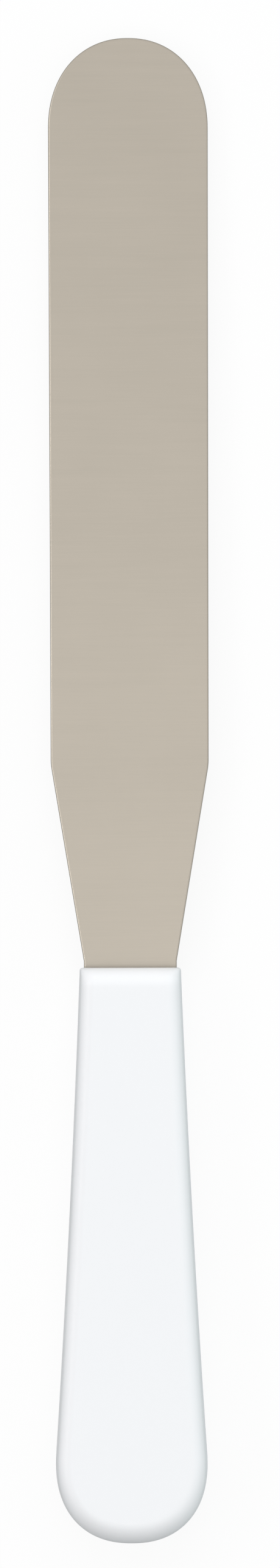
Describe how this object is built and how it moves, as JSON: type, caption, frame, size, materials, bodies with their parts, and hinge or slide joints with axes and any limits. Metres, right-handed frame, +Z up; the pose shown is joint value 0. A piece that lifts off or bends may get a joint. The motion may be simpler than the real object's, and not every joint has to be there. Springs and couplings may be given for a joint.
{
  "type": "icing spatula",
  "caption": "Straight icing spatula: long flexible steel blade with a round tip and tapered neck, its tang moulded into a flared white plastic handle, for spreading icing.",
  "frame": {"origin": "middle of the footprint, at the level of the handle's flat underside", "axes": "+Y along the spatula towards the blade's tip, +Z up, square to the handle's flat underside, +X across the blade"},
  "size_m": [0.0348, 0.329, 0.0178],
  "materials": {
    "satin_steel": "satin, with a fine grain across the blade",
    "white_plastic": "smooth moulded plastic with a soft gloss"
  },
  "bodies": {
    "root": {"blade": "satin_steel", "handle": "white_plastic"}
  },
  "joints": []
}
